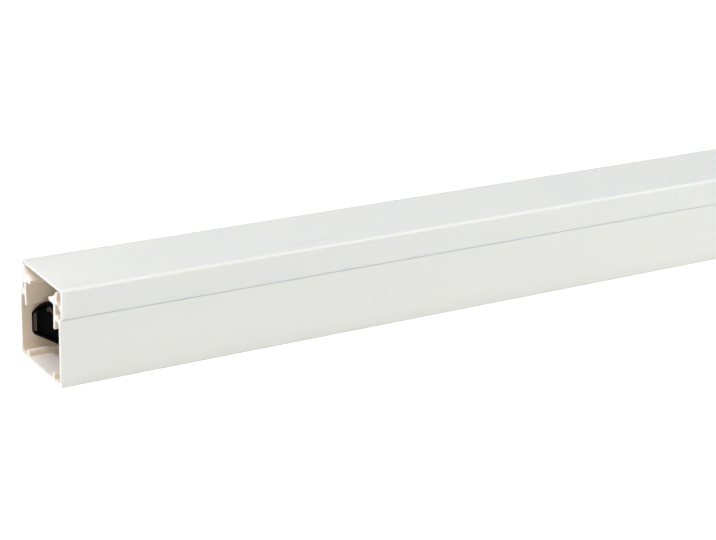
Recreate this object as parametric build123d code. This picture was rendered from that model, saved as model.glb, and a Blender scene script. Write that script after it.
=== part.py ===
"""Cord cover raceway, 40 x 40 mm: an extruded base channel with its snap-fit cover and a cable clip.

Millimetres, +X along the length, +Z up. The origin is the middle of the base channel's underside.
The sections are drawn as corners (inward, up, radius): inward is the distance from the outer side
face, up is the height above the floor, and radius rounds the corner. Each list describes the side
at -Y, and the side at +Y is its mirror image.
"""
import os
from math import radians, sqrt, tan

from build123d import *

# Whole raceway
length = 1000.0
width = 40.0
height = 40.0

# Base channel: floor and side walls
floor_thickness = 1.5
wall_thickness = 1.5
base_corner_radius = 0.5
inner_corner_radius = 0.5

# Snap-fit cover
cover_thickness = 1.2
cover_side_thickness = 1.6
cover_side_height = 12.05
cover_corner_radius = 1.1
cover_setback = 0.8
seam_gap = 0.1
seam_edge_radius = 0.15

# Snap joint between the cover's barb and the nose on the base channel's leg
barb_tip_height = 0.8
barb_ramp_height = 2.2
barb_below_top = 6.7
barb_leg_clearance = 0.4
nose_cover_clearance = 0.55
nose_height = 2.1
snap_clearance = 0.2
snap_tip_radius = 0.2

# Shoulder at the top of the side wall, with a step that the cover's side stands in
step_height = 1.0
step_clearance = 0.5
step_radius = 0.25
shoulder_thickness = 2.3
pocket_radius = 2.0

# Leg on the shoulder: its straight part, its free lower end and the fin at its top
leg_offset = 4.7
leg_thickness = 1.7
leg_drop = 6.25
leg_slant = 0.3
leg_end_thickness = 1.5
leg_end_radius = 0.6
leg_end_outer_radius = 0.3
fin_thickness = 0.9
fin_waist_depth = 1.2
fin_lean = 0.75
fin_rest_clearance = 0.2

# Lip on the leg's inner side
lip_above_shoulder = 3.85
lip_reach = 4.4
lip_root_height = 3.2
lip_tip_height = 1.55
lip_radius = 0.35

# Ribs on the floor
rib_offset = 6.3
rib_thickness = 2.1
rib_height = 2.45
rib_radius = 0.3

# Cable clip, a bowed plate with a rim all round that is pressed between the side walls
clip_inset = 4.1
clip_side_clearance = 0.1
clip_leg_clearance = 0.4
clip_above_floor = 6.75
clip_arch_rise = 9.3
clip_bow_angle = 17.0
clip_bow_half_width = 3.5
clip_bow_radius = 8.0
clip_web_thickness = 1.2
clip_rim_depth = 1.4
clip_rim_thickness = 1.0
clip_bottom_corner_radius = 1.8
clip_side_corner_radius = 0.8
clip_hole_diameter = 3.2
clip_hole_offset = 9.8
clip_hole_rise = 3.1

# Heights that follow from the sizes above
seam_height = height - cover_side_height
base_side_height = seam_height - seam_gap
shoulder_height = base_side_height + step_height
leg_end_height = shoulder_height - leg_drop
leg_top_height = height - cover_thickness - fin_rest_clearance
barb_top_height = height - barb_below_top
nose_under_height = barb_top_height + snap_clearance
clip_bottom = floor_thickness + clip_above_floor

# Distances from the outer side face that follow from the sizes above
leg_inner = leg_offset + leg_thickness
leg_end_inner = leg_inner + leg_slant
barb_tip = leg_offset - barb_leg_clearance
nose_tip = cover_side_thickness + nose_cover_clearance
fin_waist = nose_tip + fin_waist_depth
fin_outer = fin_waist - fin_lean

# Arched top of the clip, which passes under the legs' ends
clip_half_width = width / 2 - wall_thickness - clip_side_clearance
clip_arch_radius = (clip_half_width**2 + clip_arch_rise**2) / (2 * clip_arch_rise)
fall_at_leg = clip_arch_radius - sqrt(clip_arch_radius**2 - (width / 2 - leg_end_inner)**2)
clip_top = leg_end_height - clip_leg_clearance + fall_at_leg
clip_side_top = clip_top - clip_arch_rise


def extrusion(corners, start, end):
    """Extrude a section along X. Its corners at -Y are mirrored to close the outline."""
    left = [(inward - width / 2, up) for inward, up, radius in corners]
    right = [(-across, up) for across, up in reversed(left)]
    radii = [radius for inward, up, radius in corners]
    outline = FilletPolyline(*left, *right, radius=radii + radii[::-1], close=True)
    section = Plane.YZ.offset(start) * make_face(outline)
    return extrude(section, amount=end - start, dir=(1, 0, 0))


def base_outside():
    """Underside corner, the side wall, and the stepped shoulder under the cover's side."""
    step_offset = cover_side_thickness + step_clearance
    return [
        (0, 0, base_corner_radius),
        (0, base_side_height, seam_edge_radius),
        (step_offset, base_side_height, step_radius),
        (step_offset, shoulder_height, step_radius),
        (leg_offset, shoulder_height, inner_corner_radius),
    ]


def leg_nose():
    """Nose that the cover's barb hooks under, and the thin fin that leans out above it."""
    return [
        (leg_offset, nose_under_height, snap_tip_radius),
        (nose_tip, nose_under_height, snap_tip_radius),
        (fin_waist, nose_under_height + nose_height, snap_tip_radius),
        (fin_outer, leg_top_height, snap_tip_radius),
        (fin_outer + fin_thickness, leg_top_height, snap_tip_radius),
    ]


def leg_lip():
    """Lip that slopes down towards the middle of the channel."""
    lip_tip = leg_inner + lip_reach
    lip_under_height = shoulder_height + lip_above_shoulder
    return [
        (leg_inner, lip_under_height + lip_root_height, lip_radius),
        (lip_tip, lip_under_height + lip_tip_height, lip_radius),
        (lip_tip, lip_under_height, lip_radius),
        (leg_inner, lip_under_height, inner_corner_radius),
    ]


def leg_end():
    """Free lower end of the leg, and the rounded pocket between the leg and the side wall."""
    pocket_top = shoulder_height - shoulder_thickness
    return [
        (leg_end_inner, leg_end_height, leg_end_radius),
        (leg_end_inner - leg_end_thickness, leg_end_height, leg_end_outer_radius),
        (leg_offset, pocket_top, inner_corner_radius),
        (wall_thickness, pocket_top, pocket_radius),
    ]


def floor_rib():
    """Inside corner of the channel and the rib that runs along its floor."""
    rib_inner = rib_offset + rib_thickness
    rib_top = floor_thickness + rib_height
    return [
        (wall_thickness, floor_thickness, inner_corner_radius),
        (rib_offset, floor_thickness, rib_radius),
        (rib_offset, rib_top, rib_radius),
        (rib_inner, rib_top, rib_radius),
        (rib_inner, floor_thickness, rib_radius),
    ]


def make_base_channel():
    corners = base_outside() + leg_nose() + leg_lip() + leg_end() + floor_rib()
    return extrusion(corners, -length / 2, length / 2)


def make_snap_cover():
    """Flat cover with two sides. A barb on each side hooks under the nose of a leg."""
    barb_under = barb_top_height - barb_tip_height
    corners = [
        (0, height, cover_corner_radius),
        (0, seam_height, seam_edge_radius),
        (cover_side_thickness, seam_height, seam_edge_radius),
        (cover_side_thickness, barb_under - barb_ramp_height, inner_corner_radius),
        (barb_tip, barb_under, snap_tip_radius),
        (barb_tip, barb_top_height, snap_tip_radius),
        (cover_side_thickness, barb_top_height, snap_tip_radius),
        (cover_side_thickness, height - cover_thickness, inner_corner_radius),
    ]
    return extrusion(corners, -length / 2 + cover_setback, length / 2)


def clip_face():
    """Outline of the clip seen along the channel: a rectangle under an arched top."""
    lower_corners = [(-clip_half_width, clip_bottom), (clip_half_width, clip_bottom)]
    upper_corners = [(-clip_half_width, clip_side_top), (clip_half_width, clip_side_top)]
    sides = Polyline(upper_corners[0], *lower_corners, upper_corners[1])
    arch = ThreePointArc(upper_corners[1], (0, clip_top), upper_corners[0])
    face = make_face([sides, arch])
    lower = face.vertices().group_by(Axis.Y)[0]
    face = fillet(lower, clip_bottom_corner_radius)
    upper = face.vertices().group_by(Axis.Y)[-1]
    return fillet(upper, clip_side_corner_radius)


def along_clip(face):
    """Extrude a face of the clip along the channel, past the clip's whole bow."""
    return extrude(Plane.YZ.offset(-length / 2) * face, amount=width, dir=(1, 0, 0))


def clip_bow(front, back):
    """Bent band seen from above, from front to back behind the clip's foremost line."""
    slope = tan(radians(clip_bow_angle))
    end = -length / 2 + clip_inset - (width / 2 - clip_half_width) * slope
    middle = end + (width / 2 - clip_bow_half_width) * slope
    near_side = [(end, -width / 2), (middle, -clip_bow_half_width)]
    far_side = [(along, -across) for along, across in reversed(near_side)]
    line = near_side + far_side
    corners = [(along + front, across) for along, across in line]
    corners += [(along + back, across) for along, across in reversed(line)]
    radii = [0, clip_bow_radius, clip_bow_radius, 0] * 2
    band = make_face(FilletPolyline(*corners, radius=radii, close=True))
    return extrude(band, amount=height, dir=(0, 0, 1))


def make_cable_clip():
    """Bowed plate with a rim round its face and two round holes."""
    face = clip_face()
    plate = along_clip(face) & clip_bow(0, clip_rim_depth + clip_web_thickness)
    inside = offset(face, amount=-clip_rim_thickness)
    recess = along_clip(inside) & clip_bow(-clip_rim_depth, clip_rim_depth)
    holes = Sketch() + [
        Pos(side * clip_hole_offset, clip_side_top + clip_hole_rise) * Circle(clip_hole_diameter / 2)
        for side in (-1, 1)
    ]
    return plate - recess - along_clip(holes)


def main():
    os.makedirs("parts", exist_ok=True)
    export_step(make_base_channel(), "parts/base_channel.step")
    export_step(make_snap_cover(), "parts/snap_cover.step")
    export_step(make_cable_clip(), "parts/cable_clip.step")


if __name__ == "__main__":
    main()
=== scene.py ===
from math import cos, sin

import bpy
from mathutils import Matrix, Vector


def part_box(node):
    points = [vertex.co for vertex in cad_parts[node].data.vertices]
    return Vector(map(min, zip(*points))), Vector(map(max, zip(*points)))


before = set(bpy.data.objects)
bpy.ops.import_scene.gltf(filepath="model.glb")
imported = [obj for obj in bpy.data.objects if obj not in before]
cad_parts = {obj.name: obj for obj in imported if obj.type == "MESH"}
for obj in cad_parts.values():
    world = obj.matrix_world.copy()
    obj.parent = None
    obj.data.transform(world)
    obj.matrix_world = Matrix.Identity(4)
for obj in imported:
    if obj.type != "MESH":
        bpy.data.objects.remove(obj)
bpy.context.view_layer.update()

# Photograph: frame and focal length in its pixels, and the camera's sensor in millimetres
PHOTO_WIDTH = 716
FOCAL_PIXELS = 1924.17
SENSOR_WIDTH = 36.0

# Side of the raceway's square section in metres
SECTION = 0.040

# Camera: place from the middle of the near end's lower edge in sections, angles in radians, and the
# nearest and farthest place it sees in metres
CAMERA_FROM_END = Vector((-6.62680, -16.28171, 7.52194))
CAMERA_YAW = 0.561771
CAMERA_PITCH = 0.351833
CAMERA_ROLL = 0.036420
CAMERA_REACH = (0.05, 50.0)

# Lamps: name, place and target from the middle of the near end's lower edge in metres, side, power,
# colour, and whether glossy surfaces reflect it
LAMPS = [
    ("high_light", (-0.5, 0.0, 2.2), (0.1, 0.0, 0.0), 1.4, 34.9, (1.0, 1.0, 1.03), True),
    ("front_light", (0.98, -0.65, 0.34), (0.25, 0.0, 0.0), 0.8, 3.9, (1.0, 1.0, 1.0), False),
    ("end_light", (-2.0, -0.65, 0.6), (0.0, 0.0, 0.02), 1.2, 12.0, (1.0, 1.0, 1.0), True),
]
SKY_COLOUR = (1.0, 1.0, 1.0)
SKY_STRENGTH = 0.38

# Floor: half its side in metres, colour, and the glow that only the camera sees
FLOOR_HALF = 6.0
FLOOR_COLOUR = (0.93, 0.93, 0.93)
FLOOR_GLOW = 0.65

# Colours of the two extrusions: outside, inside on the walls and on the floor, and sawn ends
BASE_OUTSIDE = (0.800, 0.805, 0.757)
COVER_OUTSIDE = (0.819, 0.820, 0.784)
# Painted shade: a warm tint on the walls inside the channel, for the shade and bounce light in it
PAINTED_SHADE_INSIDE = (0.92, 0.79, 0.635)
# Painted light: the upward faces inside the channel lighter and less warm, as if lit from above
PAINTED_LIGHT_INSIDE_FLOOR = (0.95, 0.89, 0.82)
# Painted light: the sawn ends lighter, for the light that falls on the open end
PAINTED_LIGHT_SAWN = (0.94, 0.92, 0.87)

# Light that passes through the thin walls: its share, and how deep each colour goes in metres
LIGHT_THROUGH_BASE = 0.15
LIGHT_THROUGH_COVER = 0.8
THROUGH_DEPTH = (0.0022, 0.0018, 0.0013)

# Noises on the extrusions: squeeze along each axis, features a metre, detail
DIE_LINES = ((0.4, 60.0, 60.0), 30.0, 3.0)
PVC_CLOUDS = ((0.3, 1.0, 1.0), 35.0, 4.0)
PVC_GRAIN = ((1.0, 1.0, 1.0), 2600.0, 2.0)
SAW_MARKS = ((1.0, 1.0, 9.0), 260.0, 3.0)

# Relief of the extrusions in metres
DIE_LINE_DEPTH = 0.000006
PVC_GRAIN_DEPTH = 0.000003
SAW_MARK_DEPTH = 0.00005

# How much die lines and clouds darken the colour, the roughness across the clouds, how far die
# lines move it, and what sawing adds to it
DIE_LINE_SHADE = 0.015
CLOUD_SHADE = 0.012
PVC_ROUGHNESS = (0.30, 0.38)
DIE_LINE_ROUGHNESS = 0.03
SAWN_ROUGHNESS = 0.35

# Colours of the clip: its faces, their cloudy patches, and a painted sheen on the faces that look
# sideways
CLIP_BLACK = (0.0008, 0.0008, 0.001)
CLIP_CLOUDY = (0.00136, 0.00136, 0.0017)
# Painted sheen: a lighter grey-brown that stands in for a reflection on the sideways faces
CLIP_PAINTED_SHEEN = (0.15, 0.12, 0.10)

# Surface of the clip: its noises, the depth of its grain in metres, roughness and reflection
CLIP_GRAIN = ((1.0, 1.0, 1.0), 3200.0, 3.0)
CLIP_CLOUDS = ((1.0, 1.0, 1.0), 180.0, 3.0)
CLIP_GRAIN_DEPTH = 0.00002
CLIP_ROUGHNESS = (0.42, 0.55)
CLIP_SPECULAR = 0.02

# Range that most values of a noise lie in
NOISE_RANGE = (0.3, 0.7)

# Depth below the outer faces at which the inside of the channel begins
SKIN = 0.0007

# How far a face looks along an axis, from 0 to 1, where painted light on upward faces and the
# painted sheen on the clip start and where they are full, and the limit beyond which a face is a
# sawn end
PAINTED_LIGHT_FACING = (0.5, 0.9)
PAINTED_SHEEN_FACING = (0.7, 0.9)
SAWN_FACING = 0.9

# Places of the factor and the two colours among a Mix node's inputs, and of its colour among the
# outputs
MIX_INPUTS = (0, 6, 7)
MIX_RESULT = 2


def near_end():
    """Middle of the near end's lower edge."""
    low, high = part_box("base_channel")
    return Vector((low.x, (low.y + high.y) / 2, low.z))


def make_camera():
    """Camera at the photograph's viewing angle."""
    data = bpy.data.cameras.new("camera")
    data.sensor_width = SENSOR_WIDTH
    data.lens = SENSOR_WIDTH * FOCAL_PIXELS / PHOTO_WIDTH
    data.clip_start, data.clip_end = CAMERA_REACH
    forward = Vector((
        sin(CAMERA_YAW) * cos(CAMERA_PITCH),
        cos(CAMERA_YAW) * cos(CAMERA_PITCH),
        -sin(CAMERA_PITCH),
    ))
    # The camera's right and up, first without its roll and then with it
    level = Vector((cos(CAMERA_YAW), -sin(CAMERA_YAW), 0.0))
    upright = level.cross(forward)
    right = cos(CAMERA_ROLL) * level + sin(CAMERA_ROLL) * upright
    up = -sin(CAMERA_ROLL) * level + cos(CAMERA_ROLL) * upright
    place = Matrix((right, up, -forward)).transposed().to_4x4()
    place.translation = near_end() + CAMERA_FROM_END * SECTION
    camera = bpy.data.objects.new("camera", data)
    bpy.context.scene.collection.objects.link(camera)
    camera.matrix_world = place
    bpy.context.scene.camera = camera


class Shader:
    """A node tree with short ways to add nodes, link them and work with numbers."""

    def __init__(self, owner):
        owner.use_nodes = True
        self.tree = owner.node_tree
        self.tree.nodes.clear()

    def add(self, kind, **settings):
        """Add a node. Each setting is one of its properties."""
        node = self.tree.nodes.new("ShaderNode" + kind)
        for key, value in settings.items():
            setattr(node, key, value)
        return node

    def feed(self, socket, value):
        """Link an output to an input, or set the input to a number or a colour."""
        if isinstance(value, bpy.types.NodeSocket):
            self.tree.links.new(value, socket)
        elif isinstance(value, tuple) and socket.type == "RGBA":
            socket.default_value = (*value, 1.0)
        else:
            socket.default_value = value

    def math(self, operation, *values, clamp=False):
        """One arithmetic step on numbers or outputs."""
        node = self.add("Math", operation=operation, use_clamp=clamp)
        for socket, value in zip(node.inputs, values):
            self.feed(socket, value)
        return node.outputs["Value"]

    def ramp(self, value, limits, results=(0.0, 1.0)):
        """Smooth step from the first result to the second as the value goes between the limits."""
        node = self.add("MapRange", interpolation_type="SMOOTHSTEP")
        names = ("Value", "From Min", "From Max", "To Min", "To Max")
        for name, number in zip(names, (value, *limits, *results)):
            self.feed(node.inputs[name], number)
        return node.outputs["Result"]

    def mix(self, factor, first, second, blend="MIX"):
        """Colour between the first and the second, or their blend."""
        node = self.add("Mix", data_type="RGBA", blend_type=blend)
        for index, value in zip(MIX_INPUTS, (factor, first, second)):
            self.feed(node.inputs[index], value)
        return node.outputs[MIX_RESULT]

    def grey(self, level):
        """Grey of one level."""
        node = self.add("CombineColor")
        for name in ("Red", "Green", "Blue"):
            self.feed(node.inputs[name], level)
        return node.outputs["Color"]

    def place(self):
        """Place on the object in metres."""
        return self.add("TexCoord").outputs["Object"]

    def along(self, vector, axis):
        """One coordinate of a vector."""
        split = self.add("SeparateXYZ")
        self.feed(split.inputs["Vector"], vector)
        return split.outputs[axis]

    def facing(self, axis):
        """How far a face looks along an axis of its object, from -1 to 1."""
        return self.along(self.add("TexCoord").outputs["Normal"], axis)

    def noise(self, squeeze, scale, detail):
        """Noise from 0 to 1, squeezed or stretched along each axis, with scale features a metre."""
        mapping = self.add("Mapping")
        self.feed(mapping.inputs["Vector"], self.place())
        self.feed(mapping.inputs["Scale"], squeeze)
        node = self.add("TexNoise")
        self.feed(node.inputs["Vector"], mapping.outputs["Vector"])
        self.feed(node.inputs["Scale"], scale)
        self.feed(node.inputs["Detail"], detail)
        return node.outputs["Fac"]

    def bump(self, height, depth, under=None):
        """Relief of the given depth in metres, on top of the relief under it."""
        node = self.add("Bump")
        self.feed(node.inputs["Height"], height)
        self.feed(node.inputs["Strength"], 1.0)
        self.feed(node.inputs["Distance"], depth)
        if under is not None:
            self.feed(node.inputs["Normal"], under)
        return node.outputs["Normal"]

    def principled(self, colour, roughness, relief):
        """Principled surface, linked to the material's output."""
        surface = self.add("BsdfPrincipled")
        self.feed(surface.inputs["Base Color"], colour)
        self.feed(surface.inputs["Roughness"], roughness)
        self.feed(surface.inputs["Normal"], relief)
        self.feed(self.add("OutputMaterial").inputs["Surface"], surface.outputs["BSDF"])
        return surface


def light_sky():
    """Even sky. The camera sees it as plain white."""
    world = bpy.data.worlds.new("studio")
    bpy.context.scene.world = world
    shader = Shader(world)
    sky = shader.add("Background")
    shader.feed(sky.inputs["Strength"], SKY_STRENGTH)
    white = shader.add("Background")
    for background in (sky, white):
        shader.feed(background.inputs["Color"], SKY_COLOUR)
    shown = shader.add("MixShader")
    shader.feed(shown.inputs["Fac"], shader.add("LightPath").outputs["Is Camera Ray"])
    shader.feed(shown.inputs[1], sky.outputs["Background"])
    shader.feed(shown.inputs[2], white.outputs["Background"])
    shader.feed(shader.add("OutputWorld").inputs["Surface"], shown.outputs["Shader"])


def softbox(name, centre, target, size, watts, colour, reflected):
    """Square area lamp that looks from its centre to its target."""
    data = bpy.data.lights.new(name, "AREA")
    data.shape = "SQUARE"
    data.size = size
    data.energy = watts
    data.color = colour
    lamp = bpy.data.objects.new(name, data)
    lamp.visible_glossy = reflected
    lamp.location = centre
    lamp.rotation_mode = "QUATERNION"
    lamp.rotation_quaternion = (target - centre).to_track_quat("-Z", "Y")
    bpy.context.scene.collection.objects.link(lamp)


def light_scene():
    """Soft studio light: an even sky and the softboxes."""
    light_sky()
    end = near_end()
    for name, centre, target, *settings in LAMPS:
        softbox(name, end + Vector(centre), end + Vector(target), *settings)


def floor_material():
    """Plain white. For the camera it glows too, so that it joins the white background."""
    material = bpy.data.materials.new("floor")
    shader = Shader(material)
    diffuse = shader.add("BsdfDiffuse")
    shader.feed(diffuse.inputs["Color"], FLOOR_COLOUR)
    glow = shader.add("Emission")
    seen = shader.add("LightPath").outputs["Is Camera Ray"]
    shader.feed(glow.inputs["Strength"], shader.math("MULTIPLY", seen, FLOOR_GLOW))
    both = shader.add("AddShader")
    shader.feed(both.inputs[0], diffuse.outputs["BSDF"])
    shader.feed(both.inputs[1], glow.outputs["Emission"])
    shader.feed(shader.add("OutputMaterial").inputs["Surface"], both.outputs["Shader"])
    return material


def make_floor():
    """Flat square that the raceway lies on."""
    mesh = bpy.data.meshes.new("floor")
    signs = ((-1, -1), (1, -1), (1, 1), (-1, 1))
    corners = [(x * FLOOR_HALF, y * FLOOR_HALF, 0.0) for x, y in signs]
    mesh.from_pydata(corners, [], [(0, 1, 2, 3)])
    mesh.materials.append(floor_material())
    floor = bpy.data.objects.new("floor", mesh)
    bpy.context.scene.collection.objects.link(floor)


def inside_mask(shader):
    """1 on the faces inside the channel, where the painted shade and light go, and 0 on its outer
    faces.
    """
    low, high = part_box("base_channel")
    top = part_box("snap_cover")[1].z
    across = shader.math("ABSOLUTE", shader.along(shader.place(), "Y"))
    up = shader.along(shader.place(), "Z")
    from_side = shader.math("LESS_THAN", across, (high.y - low.y) / 2 - SKIN)
    above = shader.math("GREATER_THAN", up, SKIN)
    below = shader.math("LESS_THAN", up, top - SKIN)
    return shader.math("MULTIPLY", shader.math("MULTIPLY", from_side, above), below)


def sawn_mask(shader):
    """1 on the sawn end faces."""
    return shader.math("GREATER_THAN", shader.math("ABSOLUTE", shader.facing("X")), SAWN_FACING)


def pvc_colour(shader, outside, sawn, lines, clouds):
    """Outside colour, with painted shade inside, painted light on upward faces inside and on the
    sawn ends, shaded a little by lines and clouds.
    """
    # Painted shade on the inside walls and painted light on the inside floor
    painted_light_upward = shader.ramp(shader.facing("Z"), PAINTED_LIGHT_FACING)
    inside = shader.mix(painted_light_upward, PAINTED_SHADE_INSIDE, PAINTED_LIGHT_INSIDE_FLOOR)
    plain = shader.mix(inside_mask(shader), outside, inside)
    # Painted light: the sawn ends lighter
    plain = shader.mix(sawn, plain, PAINTED_LIGHT_SAWN)
    line_shade = shader.ramp(lines, NOISE_RANGE, (1.0 - DIE_LINE_SHADE, 1.0))
    cloud_shade = shader.ramp(clouds, NOISE_RANGE, (-CLOUD_SHADE, 0.0))
    shade = shader.grey(shader.math("ADD", line_shade, cloud_shade))
    return shader.mix(1.0, plain, shade, blend="MULTIPLY")


def pvc_roughness(shader, sawn, lines, clouds):
    """Satin that varies with lines and clouds, and dull on the sawn ends."""
    satin = shader.ramp(clouds, NOISE_RANGE, PVC_ROUGHNESS)
    line_part = shader.ramp(lines, NOISE_RANGE, (-DIE_LINE_ROUGHNESS, DIE_LINE_ROUGHNESS))
    sawn_part = shader.math("MULTIPLY", sawn, SAWN_ROUGHNESS)
    return shader.math("ADD", shader.math("ADD", satin, line_part), sawn_part, clamp=True)


def pvc_relief(shader, sawn, lines):
    """Faint die lines, a fine grain, and the marks of the saw on the ends."""
    relief = shader.bump(lines, DIE_LINE_DEPTH)
    relief = shader.bump(shader.noise(*PVC_GRAIN), PVC_GRAIN_DEPTH, under=relief)
    marks = shader.math("MULTIPLY", shader.noise(*SAW_MARKS), sawn)
    return shader.bump(marks, SAW_MARK_DEPTH, under=relief)


def pvc(name, outside, light_through):
    """Extruded PVC that lets some light through."""
    material = bpy.data.materials.new(name)
    shader = Shader(material)
    sawn = sawn_mask(shader)
    lines = shader.noise(*DIE_LINES)
    clouds = shader.noise(*PVC_CLOUDS)
    surface = shader.principled(
        pvc_colour(shader, outside, sawn, lines, clouds),
        pvc_roughness(shader, sawn, lines, clouds),
        pvc_relief(shader, sawn, lines),
    )
    surface.inputs["Subsurface Weight"].default_value = light_through
    surface.inputs["Subsurface Radius"].default_value = THROUGH_DEPTH
    surface.inputs["Subsurface Scale"].default_value = 1.0
    return material


def black_plastic(name):
    """Moulded black plastic with a fine grain, and a painted sheen that lightens the faces that
    look sideways.
    """
    material = bpy.data.materials.new(name)
    shader = Shader(material)
    clouds = shader.noise(*CLIP_CLOUDS)
    black = shader.mix(clouds, CLIP_BLACK, CLIP_CLOUDY)
    # Painted sheen on the faces that look sideways
    painted_sheen_mask = shader.ramp(shader.math("ABSOLUTE", shader.facing("Y")), PAINTED_SHEEN_FACING)
    surface = shader.principled(
        shader.mix(painted_sheen_mask, black, CLIP_PAINTED_SHEEN),
        shader.ramp(clouds, NOISE_RANGE, CLIP_ROUGHNESS),
        shader.bump(shader.noise(*CLIP_GRAIN), CLIP_GRAIN_DEPTH),
    )
    surface.inputs["Specular IOR Level"].default_value = CLIP_SPECULAR
    return material


def dress(node, material):
    """Give a piece its material."""
    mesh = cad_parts[node].data
    mesh.materials.clear()
    mesh.materials.append(material)


bpy.context.scene.view_settings.view_transform = "Standard"
make_camera()
light_scene()
make_floor()
dress("base_channel", pvc("base_pvc", BASE_OUTSIDE, LIGHT_THROUGH_BASE))
dress("snap_cover", pvc("cover_pvc", COVER_OUTSIDE, LIGHT_THROUGH_COVER))
dress("cable_clip", black_plastic("black_plastic"))
